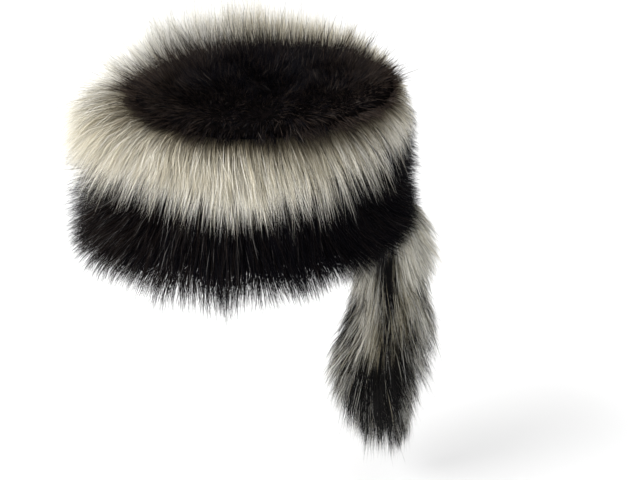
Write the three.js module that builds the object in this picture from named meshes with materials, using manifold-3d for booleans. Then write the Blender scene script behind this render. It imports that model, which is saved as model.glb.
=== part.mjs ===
// A fur cap with a hanging tail: an oval side wall of pelt closed by an oval top panel, a deep coat of black,
// cream and black fur round the outside, and a short thick tail on the back of the rim.
// Millimetres, +Z up. The origin is the middle of the head opening, at the rim. The front faces -Y, and the
// wearer's left is +X. Angles round the cap start at the front and turn towards the wearer's left.
import * as THREE from "three";
import { mergeVertices } from "three/addons/utils/BufferGeometryUtils.js";
import Module from "manifold-3d";

const wasm = await Module();
wasm.setup();

// Driving dimensions
const bandHeight = 104;
const peltThickness = 2;
const seatGap = 0.3;
const cutGap = 0.5;
const coatMargin = 0.4;
const roundSteps = 36;
const underfurShare = 0.6;
const finestEdge = 0.35;
const roomBelowRim = 2;

// The outside of the side wall, at the rim and at the seam. The front leans back, so the top sits rearward.
const bandSections = [
  { share: 0, halfWidth: 85, halfLength: 104.5, rearward: 0 },
  { share: 1, halfWidth: 79, halfLength: 97, rearward: 14 },
];

// The top panel, as shares of its edge's radii, from the edge to its flat middle.
const crownSections = [
  { share: 1, height: 0 },
  { share: 0.65, height: 4.8 },
  { share: 0.25, height: 6 },
];

// The coat round the side, at 8 or 16 even steps round the cap from the front: how far the hair tips stand
// out from their roots and rise above them, at the seam and at the rim, the same for the edge of the top
// panel, and how far up the wall the cream stripe starts.
const coat = {
  seamOut: [57, 42, 31, 21, 15, 30, 40, 46],
  seamRise: [4, -15, -33, -24, 2, 30, 46, 23],
  rimOut: [41, 36, 31, 31, 30, 34, 38, 41],
  rimRise: [-12, -15, -23, -30, -27, -14, -11, -10, -10, -12, -12, -12, -12, -12, -12, -12],
  edgeOut: [34, 30, 30, 28, 26, 27, 30, 33],
  edgeRise: [5, -7, -12, -5, 11, 27, 33, 23],
  stripe: [0.7, 0.74, 0.7, 0.69, 0.78, 0.89, 0.93, 0.95, 0.95, 0.9, 0.8, 0.68, 0.57, 0.56, 0.6, 0.65],
};

// The tail, from its tab on the band down to its tip: the middle of its core, the core's radius, and how far
// the hair tips stand out and hang below their roots.
const tailStations = [
  { z: -8, x: 0, y: 119, core: 14, out: 23, hang: 36, locks: 4 },
  { z: -34, x: 0, y: 121, core: 18, out: 14, hang: 38, locks: 5 },
  { z: -62, x: 1, y: 119, core: 18, out: 12, hang: 40, locks: 5 },
  { z: -90, x: 1, y: 121, core: 20, out: 24, hang: 42, locks: 5 },
  { z: -118, x: 0, y: 112, core: 20, out: 24, hang: 44, locks: 5 },
  { z: -146, x: 0, y: 108, core: 18, out: 20, hang: 46, locks: 5 },
  { z: -174, x: 0, y: 114, core: 14, out: 11, hang: 46, locks: 5 },
  { z: -192, x: 0, y: 118, core: 9, out: 5, hang: 42, locks: 4 },
];
const tailSides = 12;
const tailTip = { below: 26, radius: 3 };
const tailTab = { halfWidth: 13, bottom: 8, top: 20, thickness: 3, inset: 1 };

// Tiers of locks: how far along its stretch of the coat each one is rooted, how many locks it has, and the
// depth of a lock at its thickest.
const stripeTiers = [
  { level: 0.1, count: 13, depth: 9 },
  { level: 0.46, count: 13, depth: 9 },
  { level: 0.84, count: 13, depth: 9 },
];
const bandTiers = [
  { level: 0.05, count: 14, depth: 9 },
  { level: 0.38, count: 13, depth: 9 },
  { level: 0.72, count: 13, depth: 9 },
];
const crownTiers = [
  { share: 0.89, count: 16, depth: 8, lean: 1 },
  { share: 0.6, count: 10, depth: 8, lean: 0.75 },
  { share: 0.3, count: 6, depth: 8, lean: 0.5 },
];

// The top panel's underfur, whose shoulder is a share of the way out, and how its locks stand and rise
const crownCoat = {
  underfur: 6,
  shoulder: 0.94,
  overhang: 8,
  drop: 2,
  edgeShare: 0.25,
  edgeLift: 4,
  rise: 11,
  rootShare: 0.4,
};
const tailLockDepth = 10;
const tailRootShare = 0.5;
const tailLockFall = 0.5;
const rootInset = 0.2;

// A lock, in shares of its own pitch, reach and depth: how far it strays, how its reach varies, how its arch
// leaves the skin and lies along the hair, and how far and thick the notch beside it is.
const lock = { stray: 0.3, variety: 0.1, archOut: 0.5, archAlong: 0.15, notchReach: 0.58, notchDepth: 0.25 };

// Helpers for tables and directions
const radians = THREE.MathUtils.degToRad;

// A number from -1 to 1 that looks random and is the same each time.
function scatter(index, salt) {
  const wave = Math.sin(index * 12.9898 + salt * 78.233) * 43758.5453;
  return 2 * (wave - Math.floor(wave)) - 1;
}

// A row of coat at any angle, joined smoothly from one step to the next.
function coatAt(angle, name) {
  const values = coat[name];
  const place = (((angle % 360) + 360) % 360) * (values.length / 360);
  const step = Math.floor(place);
  const blend = 0.5 - 0.5 * Math.cos((place - step) * Math.PI);
  const here = values[step % values.length];
  const next = values[(step + 1) % values.length];
  return here + (next - here) * blend;
}

function sectionAt(share) {
  const upper = Math.max(1, bandSections.findIndex((row) => row.share >= Math.min(share, 1)));
  const [low, high] = [bandSections[upper - 1], bandSections[upper]];
  const blend = (share - low.share) / (high.share - low.share);
  const mix = (column) => low[column] + (high[column] - low[column]) * blend;
  return { halfWidth: mix("halfWidth"), halfLength: mix("halfLength"), rearward: mix("rearward") };
}

// The level direction straight out of the wall.
function outwardAt(angle, section) {
  const turn = radians(angle);
  const [across, ahead] = [Math.sin(turn) / section.halfWidth, -Math.cos(turn) / section.halfLength];
  return new THREE.Vector3(across, ahead, 0).normalize();
}

// A point of the wall's outside, moved out by a distance.
function wallPoint(angle, share, out = 0) {
  const section = sectionAt(share);
  const turn = radians(angle);
  const x = section.halfWidth * Math.sin(turn);
  const y = section.rearward - section.halfLength * Math.cos(turn);
  return new THREE.Vector3(x, y, share * bandHeight).addScaledVector(outwardAt(angle, section), out);
}

// From a hair's root on the wall to its tip.
function wallHair(angle, share) {
  const at = (name) => {
    const rim = coatAt(angle, `rim${name}`);
    return rim + (coatAt(angle, `seam${name}`) - rim) * share;
  };
  return outwardAt(angle, sectionAt(share)).multiplyScalar(at("Out")).setZ(at("Rise"));
}

// Helpers for closed surfaces
const anglesRound = Array.from({ length: roundSteps }, (_, step) => (step * 360) / roundSteps);

// A closed surface through rings of as many points. The last ring joins the first, or both ends are capped.
function surfaceThrough(rings, { closesOnItself }) {
  const across = rings[0].length;
  const positions = rings.flat().flatMap((point) => [point.x, point.y, point.z]);
  const index = [];
  const last = closesOnItself ? rings.length : rings.length - 1;
  for (let ring = 0; ring < last; ring++) {
    const above = (ring + 1) % rings.length;
    for (let step = 0; step < across; step++) {
      const next = (step + 1) % across;
      const [a, b] = [ring * across + step, ring * across + next];
      const [c, d] = [above * across + next, above * across + step];
      index.push(a, b, c, a, c, d);
    }
  }
  if (!closesOnItself) {
    const top = (rings.length - 1) * across;
    for (let step = 1; step < across - 1; step++) {
      index.push(0, step + 1, step);
      index.push(top, top + step, top + step + 1);
    }
  }
  const geometry = new THREE.BufferGeometry();
  geometry.setAttribute("position", new THREE.Float32BufferAttribute(positions, 3));
  geometry.setIndex(index);
  return geometry;
}

function solidOf(geometry) {
  const merged = mergeVertices(geometry, 1e-4);
  return new wasm.Manifold(
    new wasm.Mesh({
      numProp: 3,
      vertProperties: new Float32Array(merged.attributes.position.array),
      triVerts: new Uint32Array(merged.index.array),
    }),
  );
}

function geometryOf(solid) {
  const mesh = solid.getMesh();
  const geometry = new THREE.BufferGeometry();
  geometry.setAttribute("position", new THREE.BufferAttribute(new Float32Array(mesh.vertProperties), 3));
  geometry.setIndex(new THREE.BufferAttribute(new Uint32Array(mesh.triVerts), 1));
  return geometry;
}

// The one body of a solid, without its closed pockets, its loose crumbs and edges too fine to see.
function oneBody(solid) {
  const pieces = solid.simplify(finestEdge).decompose();
  return pieces.reduce((largest, piece) => (piece.volume() > largest.volume() ? piece : largest));
}
const union = (solids) => oneBody(wasm.Manifold.union(solids));
const cut = (solid, tool) => oneBody(solid.subtract(tool));

// One tier of locks round an axis: a ring with a saw-toothed edge. Each tooth is a lock, thick along its
// middle, that leaves the skin straight out, bends over to lie along its hair and ends in a tip. frameAt
// gives the root, the way out and the hair at an angle. swell makes the tier larger, to cut its neighbours.
function tier({ count, depth, salt, swell, frameAt }) {
  const rings = { root: [], under: [], tip: [], over: [] };
  for (let step = 0; step < 2 * count; step++) {
    const isLock = step % 2 === 0;
    const drift = isLock ? lock.stray * scatter(step, salt) : 0;
    const { root, outward, hair } = frameAt(((step + drift + salt) * 180) / count);
    const reach = hair.length() * (isLock ? 1 + lock.variety * scatter(step, salt + 0.5) : lock.notchReach);
    const halfDepth = (depth / 2) * (isLock ? 1 : lock.notchDepth) + swell;
    const end = hair.clone().setLength(reach + 2 * swell);
    const bend = outward.clone().multiplyScalar(lock.archOut * reach).addScaledVector(hair, lock.archAlong);
    const curve = new THREE.QuadraticBezierCurve3(new THREE.Vector3(), bend, end);
    const side = new THREE.Vector3(-outward.y, outward.x, 0);
    const lift = new THREE.Vector3().crossVectors(curve.getTangent(0.5), side).normalize();
    const middle = curve.getPoint(0.5).add(root);
    rings.root.push(root);
    rings.under.push(middle.clone().addScaledVector(lift, -halfDepth));
    rings.tip.push(end.clone().add(root));
    rings.over.push(middle.clone().addScaledVector(lift, halfDepth));
  }
  return solidOf(surfaceThrough([rings.root, rings.under, rings.tip, rings.over], { closesOnItself: true }));
}

// Band pelt: the side wall
function bandPelt() {
  const ring = (share, out) => anglesRound.map((angle) => wallPoint(angle, share, out));
  const outside = bandSections.map(({ share }) => ring(share, 0));
  const inside = bandSections.map(({ share }) => ring(share, -peltThickness));
  return surfaceThrough([...outside, ...inside.reverse()], { closesOnItself: true });
}

// The room that the pelts and the head below them take up, a seat's gap larger, for cutting the coats.
function peltRoom() {
  const shares = [-roomBelowRim / bandHeight, ...bandSections.map(({ share }) => share)];
  const rings = shares.map((share) => anglesRound.map((angle) => wallPoint(angle, share, seatGap)));
  const lid = rings.at(-1).map((point) => point.clone().setZ(bandHeight + peltThickness + 2 * seatGap));
  return solidOf(surfaceThrough([...rings, lid], { closesOnItself: false }));
}

// A point over the top panel, at a share of the way from its middle to its edge.
function crownHeightAt(share) {
  const outer = crownSections.findIndex((row) => row.share <= share);
  if (outer < 0) return crownSections.at(-1).height;
  if (outer === 0) return crownSections[0].height;
  const [high, low] = [crownSections[outer], crownSections[outer - 1]];
  return high.height + ((low.height - high.height) * (share - high.share)) / (low.share - high.share);
}
function crownPoint(angle, share, lift) {
  const edge = bandSections.at(-1);
  const turn = radians(angle);
  return new THREE.Vector3(
    share * edge.halfWidth * Math.sin(turn),
    edge.rearward - share * edge.halfLength * Math.cos(turn),
    bandHeight + seatGap + crownHeightAt(share) + lift,
  );
}

// Crown pelt: the top panel, a shallow dome with a flat middle
function crownPelt() {
  const ring = (share, lift) => anglesRound.map((angle) => crownPoint(angle, share, lift));
  const underside = crownSections.map(({ share }) => ring(share, 0)).reverse();
  const topside = crownSections.map(({ share }) => ring(share, peltThickness));
  return surfaceThrough([...underside, ...topside], { closesOnItself: false });
}

// Coat of the top panel: underfur that wraps the panel's edge, and tiers of locks
function crownFur(swell = 0) {
  const seat = peltThickness + seatGap;
  const ring = (share, lift) => anglesRound.map((angle) => crownPoint(angle, share, lift));
  const pastEdge = (out, lift) =>
    anglesRound.map((angle) => {
      const rise = coatAt(angle, "edgeRise") * crownCoat.edgeShare;
      return crownPoint(angle, 1, lift + (out > seatGap ? rise : 0)).addScaledVector(
        outwardAt(angle, bandSections.at(-1)),
        out,
      );
    });
  const body = surfaceThrough(
    [
      ...crownSections.map(({ share }) => ring(share, seat - swell)).reverse(),
      pastEdge(seatGap, seat - swell),
      pastEdge(seatGap, -swell),
      pastEdge(crownCoat.overhang + swell, -crownCoat.drop - swell),
      pastEdge(crownCoat.overhang + swell, seat + swell),
      ring(crownCoat.shoulder, seat + crownCoat.underfur + swell),
      ...crownSections.slice(1).map(({ share }) => ring(share, seat + crownCoat.underfur + swell)),
    ],
    { closesOnItself: false },
  );
  const locks = crownTiers.map((row, number) =>
    tier({
      ...row,
      salt: number,
      swell,
      frameAt: (angle) => {
        const outward = outwardAt(angle, bandSections.at(-1));
        const out = coatAt(angle, "edgeOut");
        const edgeRise = coatAt(angle, "edgeRise") + crownCoat.edgeLift;
        const rise = crownCoat.rise * (1 - row.lean) + edgeRise * row.lean;
        return {
          root: crownPoint(angle, row.share, seat + crownCoat.underfur * crownCoat.rootShare),
          outward: outward.clone().multiplyScalar(row.lean).setZ(1).normalize(),
          hair: outward.multiplyScalar(out * row.lean).setZ(rise),
        };
      },
    }),
  );
  return union([solidOf(body), ...locks]);
}

// A stretch of the side coat between two heights, given by functions of the angle: underfur and tiers of
// locks.
function sideFur(lowShare, highShare, tiers, swell = 0) {
  const shareAt = (angle, level, margin = 0) => {
    const [low, high] = [lowShare(angle) - margin / bandHeight, highShare(angle) + margin / bandHeight];
    return low + (high - low) * level;
  };
  const levels = [0, 1];
  const outside = levels.map((level) =>
    anglesRound.map((angle) => {
      const share = shareAt(angle, level, swell);
      const hair = wallHair(angle, share).multiplyScalar(underfurShare);
      return wallPoint(angle, share, seatGap + swell).add(hair);
    }),
  );
  const inside = levels.map((level) =>
    anglesRound.map((angle) => wallPoint(angle, shareAt(angle, level, swell), -peltThickness)),
  );
  const body = solidOf(surfaceThrough([...outside, ...inside.reverse()], { closesOnItself: true }));
  const locks = tiers.map((row, number) =>
    tier({
      ...row,
      salt: number + tiers.length * row.level,
      swell,
      frameAt: (angle) => {
        const share = shareAt(angle, row.level);
        const hair = wallHair(angle, share);
        return {
          root: wallPoint(angle, share).addScaledVector(hair, rootInset),
          outward: outwardAt(angle, sectionAt(share)),
          hair: hair.multiplyScalar(1 - rootInset),
        };
      },
    }),
  );
  return union([body, ...locks]);
}

const edgeMargin = coatMargin / bandHeight;
const stripeStart = (angle) => coatAt(angle, "stripe") + edgeMargin;
const stripeEnd = () => 1 - edgeMargin;
const bandEnd = (angle) => coatAt(angle, "stripe") - edgeMargin;
const stripeFur = (swell) => sideFur(stripeStart, stripeEnd, stripeTiers, swell);
const bandFur = (swell) => sideFur(() => 0, bandEnd, bandTiers, swell);

// Tail: a tab that lies on the outside of the band, a core below it, and rings of locks
function tail(swell = 0) {
  const around = Array.from({ length: tailSides }, (_, step) => (step * 360) / tailSides);
  const ring = (middle, radius) =>
    around.map((angle) => {
      const [across, ahead] = [Math.sin(radians(angle)), -Math.cos(radians(angle))];
      return new THREE.Vector3(middle.x + radius * across, middle.y + radius * ahead, middle.z);
    });
  // The tab's rings bow round the back of the wall, whose radius there is its half width squared over its
  // half length.
  const tabRing = (z) => {
    const back = wallPoint(180, z / bandHeight).y;
    const { halfWidth, halfLength } = sectionAt(z / bandHeight);
    return around.map((angle) => {
      const turn = radians(angle);
      const x = (tailTab.halfWidth + swell) * Math.sin(turn);
      const bow = (x * x) / ((2 * halfWidth ** 2) / halfLength);
      const y = back - bow + tailTab.inset - (tailTab.thickness + swell) * Math.cos(turn);
      return new THREE.Vector3(x, y, z);
    });
  };
  const tip = tailStations.at(-1);
  const core = surfaceThrough(
    [
      ring({ ...tip, z: tip.z - tailTip.below }, tailTip.radius + swell),
      ...tailStations.toReversed().map((station) => ring(station, station.core + swell)),
      tabRing(tailTab.bottom),
      tabRing(tailTab.top + swell),
    ],
    { closesOnItself: false },
  );
  const locks = tailStations.map((station, number) =>
    tier({
      count: station.locks,
      depth: tailLockDepth,
      salt: number,
      swell,
      frameAt: (angle) => {
        const outward = new THREE.Vector3(Math.sin(radians(angle)), -Math.cos(radians(angle)), 0);
        const root = new THREE.Vector3(station.x, station.y, station.z);
        return {
          root: root.addScaledVector(outward, station.core * tailRootShare),
          outward: outward.clone().setZ(-tailLockFall).normalize(),
          hair: outward.multiplyScalar(station.out + station.core * (1 - tailRootShare)).setZ(-station.hang),
        };
      },
    }),
  );
  return union([solidOf(core), ...locks]);
}

// Assembly
const stripeSolid = cut(stripeFur(), union([peltRoom(), crownFur(cutGap)]));
const bandSolid = cut(bandFur(), union([peltRoom(), stripeFur(cutGap), tail(cutGap)]));

const blackFur = new THREE.MeshStandardMaterial({ color: 0x17130f, roughness: 0.75, metalness: 0 });
const creamFur = new THREE.MeshStandardMaterial({ color: 0xcfc8b8, roughness: 0.8, metalness: 0 });
const greyFur = new THREE.MeshStandardMaterial({ color: 0x6b665c, roughness: 0.8, metalness: 0 });
const hide = new THREE.MeshStandardMaterial({ color: 0xb79f80, roughness: 0.85, metalness: 0 });

const cap = new THREE.Group();
function place(name, geometry, material) {
  const mesh = new THREE.Mesh(geometry, material);
  mesh.name = name;
  cap.add(mesh);
}
place("band_pelt", bandPelt(), hide);
place("crown_pelt", crownPelt(), hide);
place("crown_fur", geometryOf(crownFur()), blackFur);
place("white_stripe_fur", geometryOf(stripeSolid), creamFur);
place("black_band_fur", geometryOf(bandSolid), blackFur);
place("tail", geometryOf(cut(tail(), peltRoom())), greyFur);

export default cap;
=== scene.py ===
import math

import bpy
import numpy as np
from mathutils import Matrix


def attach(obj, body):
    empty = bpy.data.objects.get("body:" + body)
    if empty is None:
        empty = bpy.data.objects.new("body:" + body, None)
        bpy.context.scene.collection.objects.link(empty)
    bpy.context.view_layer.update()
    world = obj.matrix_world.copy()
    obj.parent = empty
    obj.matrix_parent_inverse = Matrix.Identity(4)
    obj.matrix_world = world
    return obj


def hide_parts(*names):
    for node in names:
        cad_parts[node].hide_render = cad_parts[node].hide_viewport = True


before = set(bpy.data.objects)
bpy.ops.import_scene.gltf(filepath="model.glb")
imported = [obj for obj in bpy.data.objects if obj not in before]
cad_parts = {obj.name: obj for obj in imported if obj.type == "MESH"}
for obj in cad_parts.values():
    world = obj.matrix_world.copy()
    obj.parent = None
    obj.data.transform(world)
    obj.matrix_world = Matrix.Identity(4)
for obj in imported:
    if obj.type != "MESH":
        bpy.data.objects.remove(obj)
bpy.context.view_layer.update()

# Driving sizes. Those of the pelts are the CAD's, and the coat's lie is near the CAD's. Lengths are in metres
# unless a comment says millimetres. Angles round the cap start at the front and turn to the wearer's left.
MM = 0.001
BAND_HEIGHT = 104 * MM
PELT = 2 * MM
SEAT_GAP = 0.3 * MM

# The outside of the side wall at a share of its height, in millimetres
WALL = {"share": (0, 1), "half_width": (85, 79), "half_length": (104.5, 97), "rearward": (0, 14)}

# The top panel's height above its edge at a share of the way out from its middle, in millimetres
CROWN = {"share": (0, 0.25, 0.65, 1), "height": (6, 6, 4.8, 0)}

# The lie of the coat, at 8 or 16 even steps round the cap: how far hair tips stand out from their roots and
# rise above them, in millimetres, at the seam under the top panel, at the rim, and at the panel's edge.
# stripe is the share of the wall's height where cream starts, and sweep leans hairs along the wall, as a
# share of their reach.
COAT = {
    "seam_out": (63, 42, 31, 22, 16, 27, 40, 46),
    "seam_rise": (4, -5, -15, -26, -33, -30, -24, -11, 2, 18, 34, 45, 51, 46, 27, 14),
    "rim_out": (41, 36, 31, 33, 33, 34, 38, 41),
    "rim_rise": (-8, -11, -21, -23.5, -22.5, -10, -3, -3, -7, -11, -12, -12, -12, -12, -12, -10),
    "edge_out": (34, 31, 30, 21, 25, 29, 33, 34),
    "edge_rise": (4, -13, -20, -12, 12, 32, 40, 26),
    "stripe": (0.72, 0.77, 0.75, 0.71, 0.86, 0.93, 0.94, 0.99, 0.99, 0.95, 0.82, 0.68, 0.57, 0.56, 0.6, 0.65),
    "sweep": (0.3, 0.1, 0.12, 0.16, 0.05, 0, 0, 0.1),
}

# The longest hairs on the side reach out this share of the coat there, and rise this much above it
LONGEST_OUT = 1.27
HIGHEST_RISE = 12 * MM

# The camera looks from this many degrees in front of the wearer's left. On that side the top's coat hangs
# over the stripe, and is rooted up to this far below the seam.
SEEN_TURN = 20
HANG = 5 * MM

# The front's hairs fall and curve over by these shares of their reach, less the further round they are, and
# each by its own share of that
FRONT_FALL, FRONT_CURVE = 0.15, 0.23
FRONT_FOCUS = 4
FRONT_UNEVEN = (0.5, 1.5)

# From the first of these shares of the wall's height up, and fully a range of the second above it, side hairs
# under the top's hanging coat bend less by this share
UNDER_CROWN = (0.7, 0.25)
STRAIGHTER = 0.18

# The side's hairs fall more from this share of the wall's height up, most on the wearer's left, and below
# this one some hang down, by up to this share of their reach
SEAM_FROM, SEAM_FALL = 0.8, 4
FRINGE_TO, FRINGE_FALL = 0.12, 0.38

# The tail from its tab down to its tip, in millimetres: its middle, its core's radius, and the hair's lie
TAIL = {
    "z": (-8, -34, -62, -90, -118, -146, -174, -192),
    "x": (0, 0, 1, 1, 0, 0, 0, 0),
    "y": (119, 121, 119, 121, 112, 108, 114, 118),
    "core": (14, 18, 18, 20, 20, 18, 14, 9),
    "out": (27, 17, 12, 24, 24, 20, 11, 5),
    "hang": (36, 38, 40, 42, 44, 46, 46, 42),
}

# How far past the first and last rows the tail's hairs are rooted, how far its core goes on below the last,
# and the tab that joins it to the band, in millimetres
TAIL_MARGIN = 8
TAIL_END = 22
TAIL_TAB = {"half_width": 13, "half_depth": 1.5, "out": 2, "heights": (6, 20), "round": 146}

# The tail's underfur, its hairs' roots and their further reach, as shares of the core's radius, and the
# underfur's end as a share of its last ring. Then how far the hairs turn at random, and lean and grow from
# place to place, as shares of their reach.
TAIL_UNDERFUR, TAIL_ROOTS, TAIL_SPREAD = 0.75, 0.6, 0.4
TAIL_END_SHARE = 0.25
TAIL_JITTER, TAIL_LEAN, TAIL_GROWTH = 0.12, 0.16, 0.06

# The least and the further length of the tail's hairs, and how far they draw together, as shares, its mean
# radius in millimetres, and how many waves of each kind go round a radian and how tall one is in millimetres
TAIL_LENGTH = {"least": 0.55, "range": 0.6}
TAIL_GATHER = (0.15, 0.75)
TAIL_RADIUS = 14
TAIL_WAVES = {"lean": (2, 22), "growth": (1.5, 12), "tone": (2.5, 18)}

# How pale the tail is from its tip up, how far that varies from place to place and from lock to lock, how
# sharply light hairs give way to dark ones with it, the least and the further share of light hairs, and the
# tones of both
TAIL_PALE = {"z": (-200, -150, -115, -60, 0), "pale": (-0.9, -0.8, -0.1, 0.2, 0.5)}
TAIL_DRIFT, TAIL_LOCKS = 0.35, 0.55
TAIL_CONTRAST = 3.5
TAIL_LIGHT = (0.02, 0.84)
TAIL_SHADE = {"mean": 0.84, "spread": 0.13, "least": 0.4, "dark": (0, 0.32)}

# Where the tail's coat is paler or darker: how far to its side, seen from the camera's angle, as a share of
# its radius, how far down in millimetres, the patch's size the same way, how pale it is and how dull
TAIL_PATCHES = {
    "side": (0.55, -0.35, -0.16, -0.6, -0.3, 0.75, -0.05, -0.9, 0.75, 0.2, 0.6, 0.85, -0.9, 0.25),
    "z": (-4, -24, -42, -70, -98, -98, -137, -125, -150, -60, -62, -88, -88, -90),
    "wide": (0.4, 0.3, 0.15, 0.25, 0.28, 0.3, 0.5, 0.2, 0.2, 0.3, 0.35, 0.2, 0.2, 0.2),
    "tall": (26, 28, 38, 22, 20, 24, 30, 30, 26, 36, 26, 20, 26, 24),
    "pale": (2.6, -1.1, -5.4, 2.3, 2.2, 0, -4.8, 0.4, 1.2, 0.5, -0.3, 0.2, -0.6, 0.5),
    "dull": (0, 0.1, 0.1, 0.08, 0.24, 0, 0, 0, 0, 0.16, 0, 0, 0, 0.24),
}

# How many hairs each coat has
HAIRS = {
    "crown": 38000,
    "stripe": 25500,
    "stripe_wool": 16000,
    "stripe_tips": 9000,
    "crest": 15000,
    "band": 35500,
    "band_wool": 14000,
    "tail": 27000,
}

# The hairs' shape: their steps from root to tip, their widths, the range of one coat's widths as shares, and
# how they narrow. TONE_WIDTH is half a hair's width in the OFBake map.
LONG_HAIR_STEPS = 4
SHORT_HAIR_STEPS = 3
HAIR_WIDTH = 0.38 * MM
FINE_WIDTH = 0.28 * MM
TONE_WIDTH = 0.004
WIDTHS = (0.7, 1.1)
TAPER = {"share": (0, 0.5, 1), "width": (1, 0.8, 0.1)}

# How each coat's hair lengths spread over their range, as the two numbers of a beta distribution, and where a
# hair bends: how far out or up from its root and how far along it, as shares of its reach
LENGTHS = {"side": (2, 1.6), "crown": (1.5, 2.2), "tail": (2, 1.4)}
BEND_OUT = {"side": 0.42, "crown": 0.35, "tail": 0.3}
BEND_ALONG = {"side": 0.15, "crown": 0.25, "tail": 0.25}

# So many hairs at a time are matched with the leading hairs of their locks
NEAREST_AT_ONCE = 2000

# How a coat varies from place to place: the size of a wave in millimetres, round and up the side, and how far
# hairs lean or grow with it, as a share of their reach. On top, a wave's size and how far hairs stray with it
# are in millimetres.
SIDE_LEAN = {"round": 14, "up": 20, "share": 0.12}
SIDE_GROWTH = {"round": 9, "up": 12, "share": 0.05}
CROWN_WAVE = 7
CROWN_WANDER = 9

# Hairs on top, as shares of the coat's reach. A share of them is short, and more so where the coat hangs,
# from a share of the way to the panel's edge on. "near" is more length on the side that the camera sees.
CROWN_SHORT = {"share": 0.62, "least": 0.1, "near": 0.25, "range": 0.25}
CROWN_HANGING = {"from": 0.85, "over": 0.1, "share": 0.15, "least": 0.15, "range": 0.08}
CROWN_LONG = {"least": 0.4, "range": 0.75}

# How high the top's hairs stand in its middle and at least, in millimetres, how far they are less matted at
# its edge, how far they turn at random, and more where matted, and how far they draw together
CROWN_STAND, CROWN_LEAST = 10, 1
LESS_MATTED = 0.7
CROWN_JITTER, MATTED_JITTER = 0.14, 0.12
CROWN_GATHER = (0, 0.6)

# The top's outermost hairs, from this share of the way to the panel's edge, are rooted down the edge, over
# this height and more where the coat hangs
EDGE_FROM = 0.92
EDGE_ROOTS = 3 * MM

# How far the top's hairs lie over, from the middle of the panel to its edge
CROWN_LEAN = {"share": (0, 0.35, 0.75, 0.93, 1), "lean": (0.1, 0.25, 0.5, 0.9, 1)}

# The wall's mean radius, the share of its height above which no stripe starts, and how far the stripe's edge
# wavers from its course
MEAN_RADIUS = 95 * MM
HIGHEST_STRIPE = 0.99
STRIPE_WAVER = 0.015

# Shares of the wall's height: where the coat starts, how deep the stripe's uppermost hairs reach down on the
# far side, and how far up the stripe its tips are rooted
RIM_SHARE = 0.01
CREST_DEPTH = 0.08
TIPS_DEPTH = 0.22

# The underfur's rings have a point each so many degrees. On the side it is lumpy by this share of its depth,
# and thins out where its two edges are nearer than this share of the wall's height.
SIDE_STEP, CROWN_STEP, TAIL_STEP = 3.0, 4.0, 15.0
LUMPS = 0.12
THINS_BELOW = 0.15

# The top's underfur at a share of the way to the panel's edge, in millimetres over the panel, and past the
# edge low and high on its skirt: how far out, and how much further where the coat hangs lowest
CROWN_WOOL = {"share": (0.95, 0.65, 0.25), "thick": (3, 5, 5)}
SKIRT_LOW, SKIRT_HIGH = (3, 2), (4, 4)

# How the cream and black coats' tones vary, from 0 to 1: their mean, the spread of hairs and of locks, the
# share of hairs of another tone and that tone's range, and how much paler or duller the coat is in places
CREAM = {
    "mean": 0.455, "spread": 0.13, "least": 0.2, "lock": 0.1, "grey": 0.06, "grey_tone": (0, 0.35),
    "patch": 0.1, "front": 0.17, "back": 0.4, "far": 0.12,
    "crest": 0.18, "crest_grey": 0.24, "crest_grey_tone": (0, 0.3),
    "tips_mean": 0.85, "tips_spread": 0.1, "tips_least": 0.5,
}
BLACK = {
    "mean": 0.3, "spread": 0.2, "most": 0.75, "lock": 0.12, "pale": 0.015, "pale_tone": (0.82, 0.95),
    # front paints a sheen on the band: its hairs are paler towards the front, each by its own share.
    "front": 0.23, "front_sheen_uneven": (0.4, 1.4),
    "top": 0.6, "top_most": 0.8, "top_pale": 0.012, "top_pale_tone": 0.88,
}

UP = np.array((0.0, 0.0, 1.0))


# Tables and directions, for many points at once
def lie(angle, column):
    """A column of COAT at these angles in degrees, joined smoothly from one step to the next."""
    values = np.array(COAT[column], dtype=float)
    place = np.mod(angle, 360) / (360 / len(values))
    row = np.floor(place).astype(int)
    blend = 0.5 - 0.5 * np.cos((place - row) * math.pi)
    here, ahead = values[row % len(values)], values[(row + 1) % len(values)]
    return here + (ahead - here) * blend


def wall(share, column):
    return np.interp(share, WALL["share"], WALL[column]) * MM


def unit(vectors):
    return vectors / np.maximum(np.linalg.norm(vectors, axis=-1, keepdims=True), 1e-9)


def outward(angle, share):
    turn = np.radians(angle)
    across = np.sin(turn) / wall(share, "half_width")
    ahead = -np.cos(turn) / wall(share, "half_length")
    return unit(np.stack((across, ahead, np.zeros_like(turn)), axis=-1))


def wall_point(angle, share, out=0.0):
    turn = np.radians(angle)
    x = wall(share, "half_width") * np.sin(turn)
    y = wall(share, "rearward") - wall(share, "half_length") * np.cos(turn)
    point = np.stack((x, y, share * BAND_HEIGHT), axis=-1)
    return point + outward(angle, share) * np.expand_dims(out * np.ones_like(turn), -1)


def crown_point(angle, share, lift):
    """A point over the top panel, at a share of the way from its middle to its edge."""
    turn = np.radians(angle)
    x = share * wall(1, "half_width") * np.sin(turn)
    y = wall(1, "rearward") - share * wall(1, "half_length") * np.cos(turn)
    z = BAND_HEIGHT + SEAT_GAP + np.interp(share, CROWN["share"], CROWN["height"]) * MM + lift
    return np.stack((x, y, z * np.ones_like(turn)), axis=-1)


def side_of(out_direction):
    return unit(np.cross(UP, out_direction))


def sin_at(angle):
    return np.sin(np.radians(angle))


def cos_at(angle):
    return np.cos(np.radians(angle))


def length_of(vectors):
    return np.linalg.norm(vectors, axis=1, keepdims=True)


def jitter_of(hair, rng):
    """Random turns of each hair, none of them extreme."""
    return np.clip(rng.normal(size=hair.shape), -2, 2)


def wander(first, second, salt, waves=7):
    """A smooth random height, mostly from -1 to 1, over two coordinates."""
    rng = np.random.default_rng(salt)
    total = np.zeros_like(first)
    for _ in range(waves):
        a, b = rng.normal(size=2)
        total = total + np.sin(a * first + b * second + rng.uniform(0, 2 * math.pi))
    return total / math.sqrt(waves)


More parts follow.
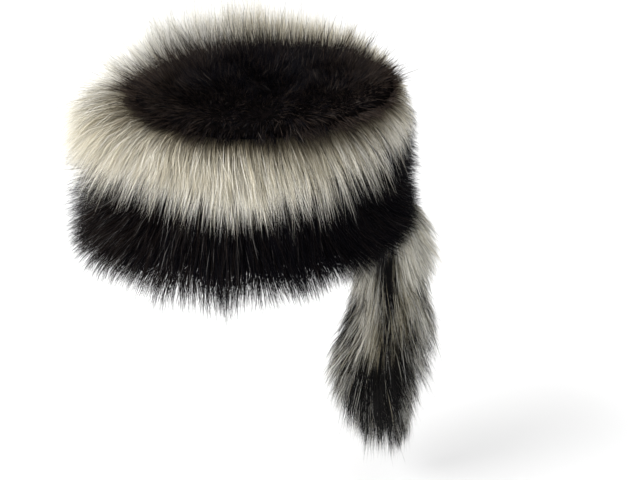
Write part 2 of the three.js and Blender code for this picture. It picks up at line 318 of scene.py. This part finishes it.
# Meshes
def link(name, mesh):
    piece = bpy.data.objects.new(name, mesh)
    bpy.context.scene.collection.objects.link(piece)
    mesh.polygons.foreach_set("use_smooth", np.ones(len(mesh.polygons), dtype=bool))
    return piece


def surface(name, rings, closes_on_itself=False):
    """A closed surface through rings of as many points."""
    rings = np.array(rings)
    count, across = rings.shape[:2]
    faces = []
    for ring in range(count if closes_on_itself else count - 1):
        low, high = ring * across, ((ring + 1) % count) * across
        for step in range(across):
            ahead = (step + 1) % across
            faces.append((low + step, low + ahead, high + ahead, high + step))
    if not closes_on_itself:
        faces.append(tuple(range(across))[::-1])
        faces.append(tuple(range((count - 1) * across, count * across)))
    mesh = bpy.data.meshes.new(name)
    mesh.from_pydata(rings.reshape(-1, 3).tolist(), [], faces)
    return link(name, mesh)


def hairs(name, root, bend, tip, tone, steps, width, rng):
    """One mesh of ribbons. Each follows a curve from its root past its bend and narrows to its tip."""
    count = len(root)
    share = np.linspace(0, 1, steps + 1)
    t = share[None, :, None]
    middle = (1 - t) ** 2 * root[:, None] + 2 * t * (1 - t) * bend[:, None] + t**2 * tip[:, None]
    roll = unit(np.cross(tip - root, rng.normal(size=(count, 3))))
    half = 0.5 * (np.ones(count) * width)[:, None] * np.interp(share, TAPER["share"], TAPER["width"])[None, :]
    left = middle[:, :-1] - roll[:, None] * half[:, :-1, None]
    right = middle[:, :-1] + roll[:, None] * half[:, :-1, None]
    pairs = np.stack((left, right), axis=2).reshape(count, 2 * steps, 3)
    points = np.concatenate((pairs, middle[:, -1:]), axis=1)

    per_hair = 2 * steps + 1
    quads = [(2 * k, 2 * k + 1, 2 * k + 3, 2 * k + 2) for k in range(steps - 1)]
    point_of = [corner for quad in quads for corner in quad] + [2 * steps - 2, 2 * steps - 1, 2 * steps]
    corners = np.arange(count)[:, None] * per_hair + np.array(point_of)[None, :]
    sizes = np.tile([4] * len(quads) + [3], count)
    starts = np.concatenate(([0], np.cumsum(sizes)[:-1]))

    mesh = bpy.data.meshes.new(name)
    mesh.vertices.add(count * per_hair)
    mesh.vertices.foreach_set("co", points.ravel())
    mesh.loops.add(corners.size)
    mesh.loops.foreach_set("vertex_index", corners.ravel().astype(np.int32))
    mesh.polygons.add(len(sizes))
    mesh.polygons.foreach_set("loop_start", starts.astype(np.int32))
    mesh.update(calc_edges=True)

    along = np.append(np.repeat(share[:-1], 2), 1)
    offset = np.append(np.tile((-TONE_WIDTH, TONE_WIDTH), steps), 0)
    tone = np.clip(tone, 2 * TONE_WIDTH, 1 - 2 * TONE_WIDTH)
    lookup = np.stack((tone[:, None] + offset[None, :], np.tile(along, (count, 1))), axis=-1).reshape(-1, 2)
    of_hair = mesh.attributes.new("hair", "FLOAT_VECTOR", "POINT")
    of_hair.data.foreach_set("vector", np.column_stack((lookup, np.zeros(len(lookup)))).ravel())
    flat = mesh.uv_layers.new(name="OFBake")
    flat.data.foreach_set("uv", lookup[corners.ravel()].ravel())
    mesh.validate()
    return link(name, mesh)


def clumped(root, hair, place, clumps, pull, rng):
    """Hairs drawn together: each leans its tip towards the tip of the nearest of some leading hairs."""
    leaders = rng.choice(len(root), clumps, replace=False)
    nearest = np.empty(len(root), dtype=int)
    for start in range(0, len(root), NEAREST_AT_ONCE):
        part = slice(start, start + NEAREST_AT_ONCE)
        apart = ((place[part, None] - place[None, leaders]) ** 2).sum(axis=-1)
        nearest[part] = leaders[apart.argmin(axis=1)]
    goal = root[nearest] + hair[nearest]
    own = root + hair
    return hair + (goal - own) * np.expand_dims(pull, -1), nearest


# Materials
def ramp(nodes, stops):
    node = nodes.new("ShaderNodeValToRGB")
    elements = node.color_ramp.elements
    while len(elements) > 1:
        elements.remove(elements[-1])
    elements[0].position = stops[0][0]
    elements[0].color = (*stops[0][1], 1)
    for position, colour in stops[1:]:
        elements.new(position).color = (*colour, 1)
    return node


def shader(name, roughness):
    material = bpy.data.materials.new(name)
    material.use_nodes = True
    tree = material.node_tree
    principled = tree.nodes["Principled BSDF"]
    principled.inputs["Roughness"].default_value = roughness
    return material, tree, principled


def hair_material(name, at_shaded_root, at_tip, roughness, specular, turns=(0, 1)):
    """Colour by the hair's tone, from one row of stops at the root, darkened as painted shade deep in the
    coat, to another at the tip. turns is where along the hair the first starts to give way and where the
    second is reached."""
    material, tree, principled = shader(name, roughness)
    principled.inputs["Specular IOR Level"].default_value = specular
    source = tree.nodes.new("ShaderNodeAttribute")
    source.attribute_name = "hair"
    split = tree.nodes.new("ShaderNodeSeparateXYZ")
    tree.links.new(source.outputs["Vector"], split.inputs[0])
    root, tip = ramp(tree.nodes, at_shaded_root), ramp(tree.nodes, at_tip)
    tree.links.new(split.outputs["X"], root.inputs[0])
    tree.links.new(split.outputs["X"], tip.inputs[0])
    mix = tree.nodes.new("ShaderNodeMix")
    mix.data_type = "RGBA"
    along = tree.nodes.new("ShaderNodeMapRange")
    along.interpolation_type = "SMOOTHSTEP"
    along.inputs["From Min"].default_value, along.inputs["From Max"].default_value = turns
    tree.links.new(split.outputs["Y"], along.inputs["Value"])
    tree.links.new(along.outputs["Result"], mix.inputs["Factor"])
    tree.links.new(root.outputs[0], mix.inputs["A"])
    tree.links.new(tip.outputs[0], mix.inputs["B"])
    tree.links.new(mix.outputs["Result"], principled.inputs["Base Color"])
    return material


def mottled_material(name, dark, light, scale, roughness, specular=0.3):
    """Colour that drifts between two, with fine bumps."""
    material, tree, principled = shader(name, roughness)
    principled.inputs["Specular IOR Level"].default_value = specular
    place = tree.nodes.new("ShaderNodeTexCoord")
    noise = tree.nodes.new("ShaderNodeTexNoise")
    noise.inputs["Scale"].default_value = scale
    noise.inputs["Detail"].default_value = 6
    tree.links.new(place.outputs["Object"], noise.inputs["Vector"])
    colour = ramp(tree.nodes, ((0.35, dark), (0.65, light)))
    tree.links.new(noise.outputs["Fac"], colour.inputs[0])
    tree.links.new(colour.outputs[0], principled.inputs["Base Color"])
    bump = tree.nodes.new("ShaderNodeBump")
    bump.inputs["Strength"].default_value = 0.4
    bump.inputs["Distance"].default_value = 0.5 * MM
    tree.links.new(noise.outputs["Fac"], bump.inputs["Height"])
    tree.links.new(bump.outputs[0], principled.inputs["Normal"])
    return material


# The root stops are darker than the tip stops: painted shade deep in the coat, between the hairs. For the
# cream the darker roots are partly the coat's own khaki roots and partly painted shade.
SHADED_BLACK_ROOT = (
    (0, (0.001, 0.001, 0.001)),
    (0.5, (0.003, 0.002, 0.002)),
    (0.8, (0.02, 0.014, 0.011)),
    (1, (0.05, 0.043, 0.037)),
)
BLACK_TIP = (
    (0, (0.002, 0.002, 0.004)),
    (0.5, (0.004, 0.004, 0.006)),
    (0.8, (0.04, 0.029, 0.023)),
    (0.9, (0.1, 0.09, 0.08)),
    (1, (0.3, 0.29, 0.28)),
)
SHADED_CREAM_ROOT = (
    (0, (0.012, 0.01, 0.008)),
    (0.25, (0.05, 0.042, 0.028)),
    (0.5, (0.105, 0.087, 0.056)),
    (0.75, (0.18, 0.15, 0.098)),
    (1, (0.25, 0.22, 0.155)),
)
CREAM_TIP = (
    (0, (0.03, 0.028, 0.026)),
    (0.25, (0.27, 0.25, 0.2)),
    (0.5, (0.54, 0.485, 0.35)),
    (0.75, (0.78, 0.735, 0.61)),
    (1, (0.95, 0.94, 0.9)),
)
SHADED_TAIL_ROOT = (
    (0, (0.001, 0.001, 0.001)),
    (0.3, (0.004, 0.003, 0.003)),
    (0.45, (0.12, 0.1, 0.065)),
    (0.6, (0.3, 0.27, 0.19)),
    (0.8, (0.55, 0.53, 0.43)),
    (1, (0.8, 0.78, 0.7)),
)
TAIL_TIP = (
    (0, (0.002, 0.002, 0.003)),
    (0.3, (0.008, 0.007, 0.007)),
    (0.45, (0.2, 0.175, 0.115)),
    (0.6, (0.48, 0.43, 0.3)),
    (0.8, (0.76, 0.75, 0.69)),
    (1, (0.94, 0.93, 0.9)),
)

black_hair = hair_material("black_hair", SHADED_BLACK_ROOT, BLACK_TIP, 0.4, 0.03)
cream_hair = hair_material("cream_hair", SHADED_CREAM_ROOT, CREAM_TIP, 0.55, 0.2, (0.16, 0.94))
tail_hair = hair_material("tail_hair", SHADED_TAIL_ROOT, TAIL_TIP, 0.55, 0.12)
black_under = mottled_material("black_underfur", (0.001, 0.001, 0.001), (0.004, 0.003, 0.003), 300, 1, 0)
# The cream underfur is a dark tan: painted shade, the dark depth of the coat under the cream hairs.
shaded_cream_under = mottled_material("cream_underfur", (0.06, 0.05, 0.035), (0.14, 0.12, 0.085), 300, 1, 0)
leather = mottled_material("pelt_leather", (0.36, 0.27, 0.18), (0.5, 0.4, 0.28), 60, 0.85)


def dress(piece, material, node):
    piece.data.materials.append(material)
    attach(piece, "root")
    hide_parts(node)


# Side coat
def wall_hair(angle, share):
    """From roots on the wall to the tips of their hairs, on average."""
    out = lie(angle, "rim_out") + (lie(angle, "seam_out") - lie(angle, "rim_out")) * share
    rise = lie(angle, "rim_rise") + (lie(angle, "seam_rise") - lie(angle, "rim_rise")) * share
    return outward(angle, share) * (out * MM)[:, None] + UP * (rise * MM)[:, None]


def side_roots(count, low, high, lower, rng):
    """Angles and heights of roots spread evenly over the wall between two heights, which are functions of the
    angle. Above 1, lower gathers them lower down."""
    angle = rng.uniform(0, 360, 2 * count)
    girth = np.hypot(WALL["half_width"][0] * cos_at(angle), WALL["half_length"][0] * sin_at(angle))
    chance = girth * np.maximum(high(angle) - low(angle), 0)
    angle = angle[rng.uniform(0, chance.max(), len(angle)) < chance][:count]
    share = low(angle) + (high(angle) - low(angle)) * rng.uniform(0, 1, len(angle)) ** lower
    return angle, share


def wave(place, sizes, salt):
    return wander(place[:, 0] / (sizes["round"] * MM), place[:, 1] / (sizes["up"] * MM), salt)


def trimmed(hair, mean, out_direction):
    """No hair reaches out or rises more than the longest may beside the mean hair at its root."""
    out, most_out = (hair * out_direction).sum(axis=1), LONGEST_OUT * (mean * out_direction).sum(axis=1)
    hair = hair * np.minimum(1, most_out / np.maximum(out, MM))[:, None]
    hair[:, 2] = np.minimum(hair[:, 2], mean[:, 2] + HIGHEST_RISE)
    return hair


def side_coat(
    name, count, low, high, steps, clumps, tone, salt, length,
    spread=0.1, gather=(0.1, 0.75), lower=1, width=HAIR_WIDTH, droop=0, comb=0,
):
    """Hairs on the wall between two heights. length is the range of their share of the coat's full reach,
    spread how far they turn at random, gather how far they draw together, droop how far all of them fall,
    and comb how far those at the front curve over and fall."""
    rng = np.random.default_rng(salt)
    angle, share = side_roots(count, low, high, lower, rng)
    out_direction = outward(angle, share)
    mean = wall_hair(angle, share)
    reach = length_of(mean)
    place = np.column_stack((np.radians(angle) * MEAN_RADIUS, share * BAND_HEIGHT))
    lean = lie(angle, "sweep") + SIDE_LEAN["share"] * wave(place, SIDE_LEAN, salt + 1)
    growth = 1 + SIDE_GROWTH["share"] * np.clip(wave(place, SIDE_GROWTH, salt + 2), -1, 1)
    hair = mean + side_of(out_direction) * reach * lean[:, None] - UP * reach * droop

    turns = jitter_of(hair, rng)
    turns[:, 2] -= (1 + sin_at(angle)) * np.maximum(share - SEAM_FROM, 0) * SEAM_FALL
    hair = hair + turns * reach * spread
    at_rim = np.clip(1 - share / FRINGE_TO, 0, 1) * rng.uniform(0, FRINGE_FALL, len(angle))
    combed = comb * np.maximum(cos_at(angle), 0) ** FRONT_FOCUS * rng.uniform(*FRONT_UNEVEN, len(angle))
    hair = hair - UP * reach * (at_rim + FRONT_FALL * combed)[:, None]
    grown = length[0] + (length[1] - length[0]) * rng.beta(*LENGTHS["side"], len(angle))
    hair = hair * (grown * growth)[:, None]
    pull = rng.uniform(*gather, len(angle))
    hair, leader = clumped(wall_point(angle, share), hair, place, clumps, pull, rng)
    hair = trimmed(hair, mean, out_direction)

    # Near the top panel, hairs on its hanging side rise straighter, so they stay under its coat
    root = wall_point(angle, share, SEAT_GAP)
    under_crown = np.maximum(sin_at(angle), 0) * np.clip((share - UNDER_CROWN[0]) / UNDER_CROWN[1], 0, 1)
    arch = (BEND_OUT["side"] - STRAIGHTER * under_crown)[:, None] * length_of(hair)
    curve = UP * reach * FRONT_CURVE * combed[:, None]
    along = (BEND_ALONG["side"] + STRAIGHTER * under_crown)[:, None]
    bend = root + out_direction * arch + hair * along + curve
    widths = width * rng.uniform(*WIDTHS, len(angle))
    return hairs(name, root, bend, root + hair, tone(angle, share, leader, rng), steps, widths, rng)


# Heights on the wall, as shares of it
def stripe_low(angle):
    edge = lie(angle, "stripe") + STRIPE_WAVER * wander(np.radians(angle) * 20, 0 * angle, 5)
    return np.minimum(edge, HIGHEST_STRIPE)


def rim(angle):
    return 0 * angle + RIM_SHARE


def hang(angle):
    """How far the top's coat is rooted below the seam, on the side where it hangs over the stripe."""
    return HANG * np.maximum(sin_at(angle + SEEN_TURN), 0)


def seam(angle):
    return 1 - hang(angle) / BAND_HEIGHT


def crest(angle):
    return np.maximum(seam(angle) - CREST_DEPTH * (1 - sin_at(angle)), stripe_low(angle))


def tips_high(angle):
    return np.minimum(stripe_low(angle) + TIPS_DEPTH, seam(angle))


# Tones, from 0 for the darkest hair of a material to 1 for the palest
def cream_tone(angle, share, leader, rng):
    """Cream in paler and duller locks, with some grey hairs, palest at the front, far side and back."""
    patch = CREAM["patch"] * wander(np.radians(angle) * 4, share * 3, 46)
    patch = patch + CREAM["front"] * np.maximum(cos_at(angle), 0)
    patch = patch + CREAM["back"] * np.maximum(sin_at(2 * angle - 160), 0)
    patch = patch + CREAM["far"] * np.maximum(-sin_at(angle), 0)
    own = rng.normal(CREAM["mean"], CREAM["spread"], len(angle))
    lock = rng.normal(0, CREAM["lock"], len(angle))[leader]
    tone = np.clip(own + lock + patch, CREAM["least"], 1)
    grey = rng.uniform(0, 1, len(angle)) < CREAM["grey"]
    return np.where(grey, rng.uniform(*CREAM["grey_tone"], len(angle)), tone)


def crest_tone(angle, share, leader, rng):
    """The stripe's uppermost hairs, paler, but with grey ones among them on the far side."""
    grey = rng.uniform(0, 1, len(angle)) < -CREAM["crest_grey"] * sin_at(angle)
    grey_tone = rng.uniform(*CREAM["crest_grey_tone"], len(angle))
    return np.where(grey, grey_tone, cream_tone(angle, share, leader, rng) + CREAM["crest"])


def tips_tone(angle, share, leader, rng):
    tone = rng.normal(CREAM["tips_mean"], CREAM["tips_spread"], len(angle))
    return np.clip(tone, CREAM["tips_least"], 1)


def black_tone(angle, share, leader, rng):
    """Black, with a few pale hairs."""
    pale = rng.uniform(0, 1, len(angle)) < BLACK["pale"]
    light = rng.uniform(*BLACK["pale_tone"], len(angle))
    dark = np.clip(rng.normal(BLACK["mean"], BLACK["spread"], len(angle)), 0, BLACK["most"])
    return np.where(pale, light, dark)


def band_tone(angle, share, leader, rng):
    """Black, paler towards the front, where a blue-grey sheen is painted in."""
    front = BLACK["front"] * np.maximum(cos_at(angle - 5), 0) ** 2
    tone = black_tone(angle, share, leader, rng)
    return tone + front * rng.uniform(*BLACK["front_sheen_uneven"], len(angle))


def crown_tone(angle, share, leader, rng):
    """Black, browner towards the front and the far back of the top panel, with a few duller hairs."""
    warm = BLACK["top"] * share**2 * (0.2 + 0.8 * np.abs(cos_at(angle + SEEN_TURN)))
    lock = rng.normal(0, BLACK["lock"], len(angle))[leader]
    tone = np.clip(black_tone(angle, share, leader, rng) + warm + lock, 0, BLACK["top_most"])
    return np.where(rng.uniform(0, 1, len(angle)) < BLACK["top_pale"], BLACK["top_pale_tone"], tone)


def side_underfur(name, low, high, reach_at):
    """The thick wool under the long hairs, as one closed ring. reach_at is its depth from its lower edge up,
    as a share of the coat's reach. It thins out where the two heights meet."""
    angle = np.arange(0, 360, SIDE_STEP)
    levels = np.linspace(0, 1, len(reach_at))
    shares = [low(angle) + (high(angle) - low(angle)) * level for level in levels]
    fullness = np.clip((high(angle) - low(angle)) / THINS_BELOW, 0, 1)
    outside = []
    for share, level, depth in zip(shares, levels, reach_at):
        lump = 1 + LUMPS * wander(np.radians(angle) * 9, 0 * angle + 5 * level, 31)
        reach = wall_hair(angle, share) * (depth * lump * fullness)[:, None]
        outside.append(wall_point(angle, share, SEAT_GAP) + reach)
    inside = [wall_point(angle, share, SEAT_GAP) for share in shares]
    return surface(name, outside + inside[::-1], closes_on_itself=True)


def stripe_piece(piece, material=cream_hair):
    dress(piece, material, "white_stripe_fur")


def band_piece(piece, material=black_hair):
    dress(piece, material, "black_band_fur")


stripe_wool_depth = (0.2, 0.26, 0.3, 0.3, 0.26, 0.18, 0.06)
band_wool_depth = (0.06, 0.16, 0.24, 0.3, 0.32, 0.3, 0.26)
stripe_piece(side_underfur("stripe_underfur", stripe_low, seam, stripe_wool_depth), shaded_cream_under)
band_piece(side_underfur("band_underfur", rim, stripe_low, band_wool_depth), black_under)

stripe_piece(side_coat(
    "stripe_wool", HAIRS["stripe_wool"], stripe_low, seam, SHORT_HAIR_STEPS, clumps=2500,
    tone=cream_tone, salt=11, length=(0.45, 0.85), spread=0.13, comb=1,
))
stripe_piece(side_coat(
    "stripe_coat", HAIRS["stripe"], stripe_low, seam, LONG_HAIR_STEPS, clumps=1300,
    tone=cream_tone, salt=12, length=(0.5, 1.1), spread=0.09, gather=(0.1, 0.8), comb=1,
))
stripe_piece(side_coat(
    "stripe_tips", HAIRS["stripe_tips"], stripe_low, tips_high, SHORT_HAIR_STEPS, clumps=1200,
    tone=tips_tone, salt=16, length=(0.8, 1.3), spread=0.15, gather=(0, 0.8), width=FINE_WIDTH,
    droop=0.14, comb=1,
))
stripe_piece(side_coat(
    "stripe_crest", HAIRS["crest"], crest, seam, SHORT_HAIR_STEPS, clumps=900,
    tone=crest_tone, salt=15, length=(0.6, 1.14), spread=0.14, gather=(0, 0.6), comb=1,
))
band_piece(side_coat(
    "band_wool", HAIRS["band_wool"], rim, stripe_low, SHORT_HAIR_STEPS, clumps=2500,
    tone=band_tone, salt=13, length=(0.5, 0.95), spread=0.13, gather=(0, 0.4), lower=1.8,
))
band_piece(side_coat(
    "band_coat", HAIRS["band"], rim, stripe_low, SHORT_HAIR_STEPS, clumps=2000,
    tone=band_tone, salt=14, length=(0.7, 1.17), gather=(0, 0.55), lower=1.75,
))


# Crown coat
def crown_coat(name, count, clumps, salt):
    """Short matted hair on top, which lies outwards at the edge, where some long hairs spread past it."""
    rng = np.random.default_rng(salt)
    angle = rng.uniform(0, 360, count)
    share = np.sqrt(rng.uniform(0, 1, count))
    lean = np.interp(share, CROWN_LEAN["share"], CROWN_LEAN["lean"])

    # Most hairs are short, and more so at the edge on the side where the coat hangs
    near = 0.5 + 0.5 * sin_at(angle + SEEN_TURN)
    hanging = near * np.clip((share - CROWN_HANGING["from"]) / CROWN_HANGING["over"], 0, 1)
    short = rng.uniform(0, 1, count) < CROWN_SHORT["share"] + CROWN_HANGING["share"] * hanging
    least = CROWN_SHORT["least"] + CROWN_SHORT["near"] * near + CROWN_HANGING["least"] * hanging
    more = CROWN_SHORT["range"] - CROWN_HANGING["range"] * hanging
    stubble = least + more * rng.uniform(0, 1, count)
    long = CROWN_LONG["least"] + CROWN_LONG["range"] * rng.beta(*LENGTHS["crown"], count)
    grown = np.where(short, stubble, long)
    out = lie(angle, "edge_out") * grown * lean
    rise = CROWN_STAND * (1 - share**4) + lie(angle, "edge_rise") * grown**2 * lean + CROWN_LEAST
    out_direction = outward(angle, np.ones(count))
    hair = out_direction * (out * MM)[:, None] + UP * (rise * MM)[:, None]

    # The outermost are rooted down the edge of the panel, and a little further where the coat hangs
    lift = PELT - (hang(angle) + EDGE_ROOTS) * rng.uniform(0, 1, count)
    edge = crown_point(angle, 1, lift) + out_direction * SEAT_GAP
    root = np.where((share > EDGE_FROM)[:, None], edge, crown_point(angle, share, PELT + SEAT_GAP))

    place = root[:, :2]
    matted = 1 - LESS_MATTED * share
    sway = CROWN_WANDER * MM * matted[:, None]
    drift, swirl = (
        wander(place[:, 0] / (CROWN_WAVE * MM), place[:, 1] / (CROWN_WAVE * MM), salt + turn)[:, None]
        for turn in (1, 2)
    )
    hair = hair + side_of(out_direction) * drift * sway + out_direction * swirl * sway
    reach = length_of(hair)
    hair = hair + jitter_of(hair, rng) * reach * (CROWN_JITTER + MATTED_JITTER * matted)[:, None]
    hair, leader = clumped(root, hair, place, clumps, rng.uniform(*CROWN_GATHER, count), rng)
    rising = UP * matted[:, None] + out_direction * share[:, None]
    bend = root + rising * reach * BEND_OUT["crown"] + hair * BEND_ALONG["crown"]
    tone = crown_tone(angle, share, leader, rng)
    return hairs(name, root, bend, root + hair, tone, SHORT_HAIR_STEPS, HAIR_WIDTH, rng)


def crown_underfur(name):
    """The thick wool of the top panel, which wraps over the panel's edge, and hangs lower on one side."""
    angle = np.arange(0, 360, CROWN_STEP)
    seat = PELT + SEAT_GAP
    skirt = hang(angle)

    def past_edge(out, lift):
        return crown_point(angle, 1, lift) + outward(angle, np.ones(len(angle))) * (out * MM)[:, None]

    rings = [crown_point(angle, share, seat) for share in (0.25, 0.65, 1)]
    rings.append(past_edge(0.3 + 0 * skirt, -skirt))
    rings.append(past_edge(SKIRT_LOW[0] + SKIRT_LOW[1] * skirt / HANG, -skirt))
    rings.append(past_edge(SKIRT_HIGH[0] + SKIRT_HIGH[1] * skirt / HANG, seat - 0.4 * skirt))
    for share, thick in zip(*CROWN_WOOL.values()):
        rings.append(crown_point(angle, share, seat + thick * MM))
    return surface(name, rings)


dress(crown_underfur("crown_underfur"), black_under, "crown_fur")
dress(crown_coat("crown_coat", HAIRS["crown"], clumps=4500, salt=21), black_hair, "crown_fur")


# Tail
def tail_at(z, column):
    return np.interp(-z, [-value for value in TAIL["z"]], TAIL[column])


def tail_wave(turn, z, kind, salt):
    return wander(turn * TAIL_WAVES[kind][0], z / TAIL_WAVES[kind][1], salt)


def tail_coat(name, count, clumps, salt):
    """Long hairs that spread from the core and hang past one another, drawn together into locks."""
    rng = np.random.default_rng(salt)
    z = rng.uniform(TAIL["z"][-1] - TAIL_MARGIN, TAIL["z"][0] + TAIL_MARGIN, count)
    turn = np.radians(rng.uniform(0, 360, count))
    out_direction = np.column_stack((np.sin(turn), -np.cos(turn), np.zeros(count)))
    core = tail_at(z, "core")
    middle = np.column_stack((tail_at(z, "x"), tail_at(z, "y"), z)) * MM
    root = middle + out_direction * (TAIL_ROOTS * core * MM)[:, None]
    out, down = tail_at(z, "out") + TAIL_SPREAD * core, tail_at(z, "hang")
    hair = out_direction * (out * MM)[:, None] - UP * (down * MM)[:, None]
    place = np.column_stack((turn * TAIL_RADIUS * MM, z * MM))
    reach = length_of(hair)
    drift = tail_wave(turn, z, "lean", salt + 1)
    swell = tail_wave(turn, z, "growth", salt + 2)
    hair = hair + side_of(out_direction) * reach * (TAIL_LEAN * drift)[:, None]
    hair = hair + jitter_of(hair, rng) * reach * TAIL_JITTER
    grown = TAIL_LENGTH["least"] + TAIL_LENGTH["range"] * rng.beta(*LENGTHS["tail"], count)
    hair = hair * (grown * (1 + TAIL_GROWTH * np.clip(swell, -1.5, 1.5)))[:, None]
    hair, leader = clumped(root, hair, place, clumps, rng.uniform(*TAIL_GATHER, count), rng)
    bend = root + out_direction * reach * BEND_OUT["tail"] + hair * BEND_ALONG["tail"]
    widths = HAIR_WIDTH * rng.uniform(*WIDTHS, count)
    tone = tail_tone(turn, z, leader, rng)
    return hairs(name, root, bend, root + hair, tone, LONG_HAIR_STEPS, widths, rng)


def tail_tone(turn, z, leader, rng):
    """Cream at the root and black at the tip, with patches and locks of both between and long pale hairs all
    over. A share of the hairs is light, and it grows where the coat is paler."""
    side = -np.cos(turn + math.radians(SEEN_TURN))
    pale = np.interp(z, TAIL_PALE["z"], TAIL_PALE["pale"])
    dullness = 0
    for centre, down, wide, tall, change, dull in zip(*TAIL_PATCHES.values()):
        patch = np.exp(-(((side - centre) / wide) ** 2) - ((z - down) / tall) ** 2)
        pale = pale + change * patch
        dullness = dullness + dull * patch
    pale = pale + TAIL_DRIFT * tail_wave(turn, z, "tone", 44) + rng.normal(0, TAIL_LOCKS, len(z))[leader]
    chance = 1 / (1 + np.exp(-TAIL_CONTRAST * pale))
    light = rng.uniform(0, 1, len(z)) < TAIL_LIGHT[0] + TAIL_LIGHT[1] * chance
    shade = TAIL_SHADE["mean"] - dullness + rng.normal(0, TAIL_SHADE["spread"], len(z))
    dark = rng.uniform(*TAIL_SHADE["dark"], len(z))
    return np.where(light, np.clip(shade, TAIL_SHADE["least"], 1), dark)


def tail_core(name):
    """The underfur: a thinner core than the CAD's, up into the tab on the back of the band."""
    turn = np.radians(np.arange(0, 360, TAIL_STEP))
    direction = np.column_stack((np.sin(turn), -np.cos(turn), np.zeros(len(turn))))
    stations = list(zip(TAIL["x"], TAIL["y"], TAIL["z"], TAIL_UNDERFUR * np.array(TAIL["core"])))
    x, y, z = stations[-1][:3]
    stations.append((x, y, z - TAIL_END, TAIL_END_SHARE * stations[-1][3]))
    rings = [np.array((x, y, z)) * MM + direction * core * MM for x, y, z, core in stations[::-1]]

    # The tab follows the round of the wall's back
    across, depth = TAIL_TAB["half_width"] * direction[:, 0], TAIL_TAB["half_depth"] * direction[:, 1]
    behind = depth + TAIL_TAB["out"] - across**2 / TAIL_TAB["round"]
    flat = np.column_stack((across, behind, np.zeros(len(turn)))) * MM
    for height in TAIL_TAB["heights"]:
        rings.append(wall_point(np.array([180.0]), np.array([height * MM / BAND_HEIGHT]))[0] + flat)
    return surface(name, rings)


dress(tail_core("tail_core"), black_under, "tail")
dress(tail_coat("tail_coat", HAIRS["tail"], clumps=700, salt=41), tail_hair, "tail")


# Pelts
for name in ("band_pelt", "crown_pelt"):
    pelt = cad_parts[name]
    pelt.data.materials.clear()
    pelt.data.materials.append(leather)


# Floor, light and camera
FLOOR_REACH, FLOOR_LEVEL = 6.0, -0.27
FLOOR_COLOUR = (0.9, 0.9, 0.9, 1)
KEY_PLACE, KEY_SIZE, KEY_WATTS = (0.1, -1.2, 1.2), 1.2, 42
WORLD_STRENGTH = 1.0
AZIMUTH, ELEVATION = math.radians(90 - SEEN_TURN), math.radians(25)
LENS, SENSOR = 85, 36
DISTANCE = 1.209
AIM = (0.018, 0.051, -0.019)


def floor():
    mesh = bpy.data.meshes.new("floor")
    signs = ((-1, -1), (1, -1), (1, 1), (-1, 1))
    corners = [(x * FLOOR_REACH, y * FLOOR_REACH, FLOOR_LEVEL) for x, y in signs]
    mesh.from_pydata(corners, [], [(0, 1, 2, 3)])
    plane = link("floor", mesh)
    material, _, principled = shader("floor", 0.9)
    principled.inputs["Base Color"].default_value = FLOOR_COLOUR
    mesh.materials.append(material)


def lights():
    world = bpy.data.worlds.new("studio")
    bpy.context.scene.world = world
    world.use_nodes = True
    background = world.node_tree.nodes["Background"]
    background.inputs["Color"].default_value = (1, 1, 1, 1)
    background.inputs["Strength"].default_value = WORLD_STRENGTH
    lamp = bpy.data.lights.new("key", "AREA")
    lamp.shape = "SQUARE"
    lamp.size = KEY_SIZE
    lamp.energy = KEY_WATTS
    key = bpy.data.objects.new("key", lamp)
    key.location = KEY_PLACE
    aim(key, (0, 0, 0))
    bpy.context.scene.collection.objects.link(key)


def aim(thing, target):
    towards = np.array(target) - np.array(thing.location)
    yaw = math.atan2(-towards[0], towards[1])
    pitch = math.atan2(math.hypot(towards[0], towards[1]), -towards[2])
    thing.rotation_euler = (pitch, 0, yaw)


def camera():
    lens = bpy.data.cameras.new("camera")
    lens.lens = LENS
    lens.sensor_width = SENSOR
    shooter = bpy.data.objects.new("camera", lens)
    level = DISTANCE * math.cos(ELEVATION)
    shooter.location = (
        AIM[0] + level * math.sin(AZIMUTH),
        AIM[1] - level * math.cos(AZIMUTH),
        AIM[2] + DISTANCE * math.sin(ELEVATION),
    )
    aim(shooter, AIM)
    bpy.context.scene.collection.objects.link(shooter)
    bpy.context.scene.camera = shooter


floor()
lights()
camera()
bpy.context.scene.view_settings.view_transform = "Standard"
